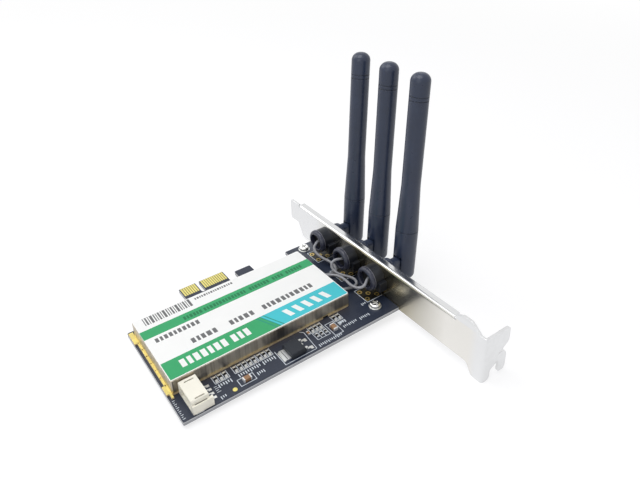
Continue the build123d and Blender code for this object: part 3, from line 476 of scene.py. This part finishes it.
def dress(looks):
    """Gives each CAD node its slot's material, or one of its own."""
    own = {
        # The antenna pads get a darker gold: painted shade of the barrels over them.
        "antenna_pads": metal("gold_painted_shade", (0.5, 0.38, 0.15), 0.45, (1.5, 1.5, 3.0), 0.01),
        "regulator_tab": metal("dull_tin", (0.6, 0.61, 0.62), 0.4, (1.5, 1.5, 1.5), 0.012),
        "chip_ends": metal("solder", (0.82, 0.83, 0.84), 0.35, (1.5, 1.5, 1.5), 0.012, bright=0.4),
    }
    cap = moulded("cap_plastic", (0.026, 0.029, 0.05), 0.27, 5.0, 0.012, edge=0.3)
    for i in ANTENNAS:
        own[f"barrel_cap_{i}"] = cap
    for row in frame["record"]["subparts"]:
        mesh = NODES[row["node"]].data
        mesh.materials.clear()
        mesh.materials.append(own.get(row["node"], looks[row["material_slot"]]))


def hinge(i):
    """Place of an antenna's hinge in millimetres."""
    joints = frame["record"]["behaviour"]["joints"]
    joint = next(j for j in joints if j["name"] == f"antenna_tilt_{i}")
    return [c / MM for c in joint["pos_m"]]


def add_piece(name, vertices, faces, material, body):
    """Adds a mesh, with corners in millimetres, that rides on a body."""
    mesh = bpy.data.meshes.new(name)
    mesh.from_pydata([[c * MM for c in corner] for corner in vertices], [], faces)
    mesh.materials.append(material)
    made = bpy.data.objects.new(name, mesh)
    bpy.context.scene.collection.objects.link(made)
    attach(made, body)
    return made


class Print:
    """Thin closed plates on one height, gathered into one piece."""

    def __init__(self, low, high):
        self.low = low
        self.high = high
        self.vertices = []
        self.faces = []

    def polygon(self, points):
        """Plate with a convex outline, corners given anticlockwise."""
        first, count = len(self.vertices), len(points)
        for z in (self.low, self.high):
            self.vertices += [(x, y, z) for x, y in points]
        self.faces.append([first + i for i in reversed(range(count))])
        self.faces.append([first + count + i for i in range(count)])
        for i in range(count):
            j = (i + 1) % count
            self.faces.append([first + i, first + j, first + count + j, first + count + i])

    def bar(self, x0, x1, y0, y1):
        """Plate with its sides along the axes."""
        self.polygon([(x0, y0), (x1, y0), (x1, y1), (x0, y1)])

    def outline(self, x0, x1, y0, y1, width):
        """Four bars round a box."""
        self.bar(x0, x1, y0, y0 + width)
        self.bar(x0, x1, y1 - width, y1)
        self.bar(x0, x0 + width, y0 + width, y1 - width)
        self.bar(x1 - width, x1, y0 + width, y1 - width)

    def line(self, start, end, width):
        """Straight bar between two points."""
        a, b = Vector(start), Vector(end)
        along = (b - a).normalized()
        side = Vector((-along.y, along.x)) * (width / 2)
        self.polygon([tuple(a - side), tuple(b - side), tuple(b + side), tuple(a + side)])

    def disc(self, x, y, radius):
        """Round plate."""
        steps = 20
        turn = [2 * math.pi * i / steps for i in range(steps)]
        self.polygon([(x + radius * math.cos(a), y + radius * math.sin(a)) for a in turn])

    def strokes(self, x0, x1, y0, y1, width, pitch):
        """Row of upright strokes of uneven height."""
        count = int((x1 - x0 - width) / pitch) + 1
        for i in range(count):
            x = x0 + i * pitch
            height = (y1 - y0) * STROKE_HEIGHTS[i % len(STROKE_HEIGHTS)]
            self.bar(x, x + width, y1 - height, y1)

    def blocks(self, spans, row):
        """Plain upright blocks along each span of a row, in the places of words."""
        near, far, gap, widths = row
        for x, end in spans:
            i = 0
            while x < end:
                width = widths[i % len(widths)]
                self.bar(x, x + width, near, far)
                x += width + gap
                i += 1

    def piece(self, name, material):
        """Turns the plates into a piece that rides on the card."""
        return add_piece(name, self.vertices, self.faces, material, "card")


def label_print():
    """Plain fields of colour on the label, with rows of blocks in the places of words."""
    low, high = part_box("label")
    left, right = low.x / MM, high.x / MM
    near = low.y / MM + TITLE_EDGE
    top = high.z / MM
    base, over = (top, top + INK_T), (top + INK_T, top + 2 * INK_T)

    green = Print(*base)
    green.bar(left + STRIPE_INSET, right - STRIPE_INSET, *STRIPE_Y)
    start, end = left + TITLE_INSET, right - TITLE_INSET
    green.polygon([(start, near), (SPLIT_NEAR, near), (SPLIT_FAR, TITLE_FAR), (start, TITLE_FAR)])
    green.piece("label_green", ink("ink_green", (0.045, 0.39, 0.155)))

    cyan = Print(*base)
    cyan.polygon([(SPLIT_NEAR, near), (end, near), (end, TITLE_FAR), (SPLIT_FAR, TITLE_FAR)])
    cyan.piece("label_cyan", ink("ink_cyan", (0.07, 0.57, 0.65)))

    stripe = Print(*over)
    for shift in DIAGONALS:
        a, b = SPLIT_NEAR + shift, SPLIT_FAR + shift
        stripe.polygon([(a, near), (a + DIAGONAL_W, near), (b + DIAGONAL_W, TITLE_FAR), (b, TITLE_FAR)])
    stripe.piece("label_diagonal", ink("ink_teal", (0.03, 0.3, 0.22)))

    dark = Print(*base)
    dark.blocks(DETAIL_SPANS, DETAIL_ROW)
    dark.blocks(HEADING_SPANS, HEADING_ROW)
    dark.blocks(BAR_SPANS, BAR_ROW)
    dark.blocks(CAPTION_SPANS, CAPTION_ROW)
    dark.piece("label_words", ink("ink_dark", (0.16, 0.165, 0.17)))

    pale = Print(*over)
    pale.blocks(TITLE_SPANS, TITLE_ROW)
    y0, y1 = SLANT_Y
    for i in range(SLANT_COUNT):
        x = SLANT_X + SLANT_PITCH * i
        foot = x + SLANT_LEAN
        pale.polygon([(foot, y0), (foot + SLANT_W, y0), (x + SLANT_W, y1), (x, y1)])
    pale.piece("label_title", ink("ink_white", (0.9, 0.92, 0.91)))

    fine = Print(*over)
    fine.blocks(STRIPE_SPANS, STRIPE_ROW)
    fine.piece("label_small_words", ink("ink_deep_green", (0.02, 0.2, 0.08)))


def chip_row_print(silk):
    """Lines between the chips of each row, a rule along its near side and strokes below it."""
    half = SILK_LINE / 2
    rule = ROW_Y[0]
    for start, count in CHIP_ROWS:
        left = start - CHIP_PITCH / 2
        right = left + count * CHIP_PITCH
        for i in range(count + 1):
            x = left + i * CHIP_PITCH
            silk.bar(x - half, x + half, *ROW_Y)
        silk.bar(left, right, rule - RULE_W, rule)
        silk.strokes(left + ROW_NOTE_START, right, *ROW_NOTE_Y, ROW_NOTE_W, ROW_NOTE_PITCH)
    rule = SECOND_ROW_Y[0]
    for i in range(SECOND_ROW_LINES):
        x = SECOND_ROW_X + (i - 0.5) * CHIP_PITCH
        silk.bar(x - half, x + half, *SECOND_ROW_Y)
    silk.bar(*SECOND_RULE_X, rule - RULE_W, rule)


def regulator_print(silk):
    """Bent line, rule and side line round the regulator."""
    for start, end in zip(REG_LINE, REG_LINE[1:]):
        silk.line(start, end, SILK_LINE)
    x, y = REG_CORNER
    right = REG_LINE[-1][0]
    silk.bar(x, right, y - RULE_W, y)
    silk.bar(x, x + REG_SIDE_W, y, REG_SIDE_FAR)


def board_print():
    """White lines and small strokes on the board, and the dark patches under the barrels, which are black
    print with painted shadow of the barrels.
    """
    silk = Print(0.0, SILK_T)
    chip_row_print(silk)
    for box in BOXES:
        silk.outline(*box, SILK_LINE)
    regulator_print(silk)
    for note in NOTES:
        silk.strokes(*note, NOTE_W, NOTE_PITCH)
    for x0, x1, near, rungs in LADDERS:
        for i in range(rungs):
            y = near + RUNG_PITCH * i
            silk.bar(x0, x1 - RUNG_SHORTER * (i % 2), y, y + RUNG_W)
    # Black print patches, darker still as painted shadow of the barrels.
    black_print_and_painted_shadow = Print(0.0, INK_T)
    left = PATCH_X[0]
    reach = PATCH_HALF + PATCH_LINE
    for i in ANTENNAS:
        y = hinge(i)[1]
        silk.bar(left - PATCH_LINE, left, y - reach, y + reach)
        silk.bar(left, PATCH_LINE_END, y - reach, y - PATCH_HALF)
        silk.bar(left, PATCH_LINE_END, y + PATCH_HALF, y + reach)
        black_print_and_painted_shadow.bar(*PATCH_X, y - PATCH_HALF, y + PATCH_HALF)
    black_print_and_painted_shadow.piece("board_patches_and_painted_shadow", ink("ink_patch_and_painted_shadow", (0.012, 0.011, 0.009)))
    silk.piece("board_print", ink("ink_silk", (0.72, 0.78, 0.85)))


def solder_pads(material):
    """Tinned pads at the ends of the chips and at the header's and regulator's leads."""
    pads = Print(0.0, PAD_T)
    for start, count in CHIP_ROWS:
        for i in range(count):
            x = start + i * CHIP_PITCH
            for ends in CHIP_PADS_Y:
                pads.bar(x - CHIP_PAD_HALF, x + CHIP_PAD_HALF, *ends)
    for i in range(PIN_COUNT):
        y = PIN_FAR_Y - PIN_PITCH * i
        pads.bar(*PIN_PAD_X, y - PIN_PAD_HALF, y + PIN_PAD_HALF)
    for y in REG_PADS_Y:
        pads.bar(*REG_PAD_X, y - REG_PAD_HALF, y + REG_PAD_HALF)
    pads.bar(*TAB_PAD)
    pads.piece("solder_pads", material)


def header_shades():
    """Dark insides of the header's slots and of its step."""
    low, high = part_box("header_housing")
    left, near, far, top = low.x / MM, low.y / MM, high.y / MM, high.z / MM
    dark = ink("shade", (0.1, 0.095, 0.075), 0.6)
    floor_z = top - SLOT_DEPTH
    slots = Print(floor_z, floor_z + SLOT_SHADE_T)
    for y in (near + SLOT_EDGE, far - SLOT_EDGE - SLOT_W):
        slots.bar(left + SLOT_X[0], left + SLOT_X[1], y, y + SLOT_W)
    slots.piece("header_slots", dark)
    step_z = top - STEP_DROP
    step = Print(step_z, step_z + STEP_SHADE_T)
    step.bar(left + STEP_X[0], left + STEP_X[1], near + STEP_Y[0], near + STEP_Y[1])
    step.piece("header_step", dark)


def shades():
    """Dark groove in the regulator's tab and dark break in the shield's band."""
    low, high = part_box("regulator_tab")
    left, near, far, top = low.x / MM, low.y / MM, high.y / MM, high.z / MM
    groove = Print(top, top + INK_T)
    groove.bar(left + GROOVE_X[0], left + GROOVE_X[1], near + GROOVE_INSET, far - GROOVE_INSET)
    groove.piece("tab_groove", ink("groove_shade", (0.1, 0.105, 0.11), 0.5))
    gap = Print(0.0, BAND_GAP_H)
    gap.bar(*BAND_GAP)
    gap.piece("band_gap", ink("gap_shade", (0.012, 0.011, 0.01), 0.6))


def test_pad(material):
    """Bright face of the test pad at the board's near edge."""
    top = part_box("antenna_pads")[1].z / MM
    face = Print(top, top + INK_T)
    face.disc(TEST_PAD_X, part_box("carrier_board")[0].y / MM + TEST_PAD_EDGE, TEST_PAD_R)
    face.piece("test_pad_face", material)


def turned(name, middle, profile, material, body):
    """Ring about a line along X, from a closed section of places along X and radii."""
    turns, sharp = 72, math.radians(50)
    count = len(profile)
    vertices, faces = [], []
    for k in range(turns):
        angle = 2 * math.pi * k / turns
        side, up = math.cos(angle), math.sin(angle)
        vertices += [(middle[0] + x, middle[1] + r * side, middle[2] + r * up) for x, r in profile]
        here, there = k * count, (k + 1) % turns * count
        for m in range(count):
            n = (m + 1) % count
            faces.append([here + m, there + m, there + n, here + n])
    ring = add_piece(name, vertices, faces, material, body)
    ring.data.shade_smooth()
    ring.data.set_sharp_from_angle(angle=sharp)


def collar_rings(material):
    """Ribbed rings round the collars of the swivels, domed towards the rods."""
    start, end = RING_X
    profile = []
    for i in range(RING_STEPS + 1):
        t = i / RING_STEPS
        fall = max(0.0, (t - RING_LEVEL) / (1 - RING_LEVEL))
        radius = RING_RIM + (RING_CROWN - RING_RIM) * math.sqrt(1 - fall**2)
        radius -= RING_RIB_DEPTH * (1 - abs(math.sin(math.pi * RING_RIBS * t))) ** 3
        profile.append((start + (end - start) * t, radius))
    profile += [(end, RING_BORE), (start, RING_BORE)]
    for i in ANTENNAS:
        turned(f"collar_ring_{i}", hinge(i), profile, material, f"swivel_{i}")


def cap_seams():
    """Pale beads round the barrels, behind the rounded rings on their inner ends; their pale colour is a
    painted highlight along the seams.
    """
    # Pale colour of the beads: a painted highlight along the seams.
    worn_patch_and_painted_highlight = moulded("seam_painted_highlight_plastic", (0.15, 0.15, 0.18), 0.4, 5.0, 0.006, edge=0.0, mottle=0.3)
    for i in ANTENNAS:
        low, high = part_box(f"barrel_cap_{i}")
        radius = (high.z - low.z) / MM / 2
        middle = (high.x / MM, (low.y + high.y) / MM / 2, (low.z + high.z) / MM / 2)
        section = [
            (-SEAM_W, radius),
            (-SEAM_W / 2, radius + SEAM_PROUD),
            (0.0, radius),
            (0.0, radius - SEAM_SUNK),
            (-SEAM_W, radius - SEAM_SUNK),
        ]
        turned(f"cap_seam_{i}", middle, section, worn_patch_and_painted_highlight, "card")


def seen_rays(tree):
    """One for camera, glossy and transmission rays."""
    path = tree.nodes.new("ShaderNodeLightPath")
    total = path.outputs["Is Camera Ray"]
    for name in ("Is Glossy Ray", "Is Transmission Ray"):
        most = tree.nodes.new("ShaderNodeMath")
        most.operation = "MAXIMUM"
        tree.links.new(total, most.inputs[0])
        tree.links.new(path.outputs[name], most.inputs[1])
        total = most.outputs["Value"]
    return total


def surround():
    """White surround, which lights the card less than it shows."""
    world = bpy.data.worlds.new("surround")
    bpy.context.scene.world = world
    world.use_nodes = True
    tree = world.node_tree
    background = tree.nodes["Background"]
    level = tree.nodes.new("ShaderNodeMapRange")
    level.inputs["To Min"].default_value = SURROUND
    level.inputs["To Max"].default_value = 1.0
    tree.links.new(seen_rays(tree), level.inputs["Value"])
    tree.links.new(level.outputs["Result"], background.inputs["Strength"])
    background.inputs["Color"].default_value = (1, 1, 1, 1)


def floor_look():
    """Pale floor that shows the card's shadow, turns white further out and bounces plain light."""
    material = bpy.data.materials.new("floor")
    material.use_nodes = True
    tree = material.node_tree
    tree.nodes.clear()
    add, link = tree.nodes.new, tree.links.new
    plain = add("ShaderNodeBsdfDiffuse")
    plain.inputs["Color"].default_value = (0.8, 0.8, 0.8, 1)
    shown = add("ShaderNodeBsdfDiffuse")
    shown.inputs["Color"].default_value = (0.34, 0.34, 0.35, 1)
    glow = add("ShaderNodeEmission")
    glow.inputs["Strength"].default_value = FLOOR_GLOW
    both = add("ShaderNodeAddShader")
    link(shown.outputs["BSDF"], both.inputs[0])
    link(glow.outputs["Emission"], both.inputs[1])
    white = add("ShaderNodeEmission")
    spot = add("ShaderNodeTexCoord")
    reach = add("ShaderNodeVectorMath")
    reach.operation = "LENGTH"
    link(spot.outputs["Object"], reach.inputs[0])
    fade = add("ShaderNodeMapRange")
    fade.inputs["From Min"].default_value, fade.inputs["From Max"].default_value = FLOOR_FADE
    link(reach.outputs["Value"], fade.inputs["Value"])
    seen = add("ShaderNodeMixShader")
    link(fade.outputs["Result"], seen.inputs["Fac"])
    link(both.outputs["Shader"], seen.inputs[1])
    link(white.outputs["Emission"], seen.inputs[2])
    mix = add("ShaderNodeMixShader")
    link(seen_rays(tree), mix.inputs["Fac"])
    link(plain.outputs["BSDF"], mix.inputs[1])
    link(seen.outputs["Shader"], mix.inputs[2])
    out = add("ShaderNodeOutputMaterial")
    link(mix.outputs["Shader"], out.inputs["Surface"])
    return material


def floor():
    """Plane through the board's free corner, the far screw and the bracket's lobe."""
    mesh = bpy.data.meshes.new("floor")
    slope_x, slope_y = FLOOR_SLOPE
    size = FLOOR_REACH
    spots = [(-size, -size), (size, -size), (size, size), (-size, size)]
    mesh.from_pydata([(x, y, slope_x * x + slope_y * y) for x, y in spots], [], [[0, 1, 2, 3]])
    mesh.materials.append(floor_look())
    plane = bpy.data.objects.new("floor", mesh)
    plane.location = Vector((*FLOOR_CORNER, -BOARD_T - FLOOR_CLEAR)) * MM
    bpy.context.scene.collection.objects.link(plane)


def lamp(name, place, size, watts):
    """Square soft lamp aimed at the middle of the card."""
    data = bpy.data.lights.new(name, "AREA")
    data.size = size
    data.energy = watts
    made = bpy.data.objects.new(name, data)
    made.location = place
    aim = Vector(LAMP_AIM) - Vector(place)
    made.rotation_euler = aim.to_track_quat("-Z", "Y").to_euler()
    bpy.context.scene.collection.objects.link(made)


def studio():
    """White surround, pale floor under the card's resting points, and soft lamps."""
    bpy.context.scene.view_settings.view_transform = "Standard"
    surround()
    floor()
    for name, (place, size, watts) in LAMPS.items():
        lamp(name, place, size, watts)


def camera():
    """Camera at the photograph's place."""
    data = bpy.data.cameras.new("camera")
    data.sensor_fit = "HORIZONTAL"
    data.sensor_width = SENSOR
    data.lens = SENSOR * FOCAL_PX / FRAME_PX
    data.shift_x, data.shift_y = SHIFT
    data.clip_start = CLIP_START
    made = bpy.data.objects.new("camera", data)
    right, up = Vector(RIGHT), -Vector(DOWN)
    back = right.cross(up)
    turn = Matrix((right, up, back)).transposed().to_4x4()
    made.matrix_world = Matrix.Translation(Vector(EYE) * MM) @ turn
    bpy.context.scene.collection.objects.link(made)
    bpy.context.scene.camera = made


looks = make_looks()
dress(looks)
label_print()
board_print()
solder_pads(looks["tin"])
header_shades()
shades()
test_pad(looks["gold"])
collar_rings(looks["antenna_plastic"])
cap_seams()
studio()
camera()
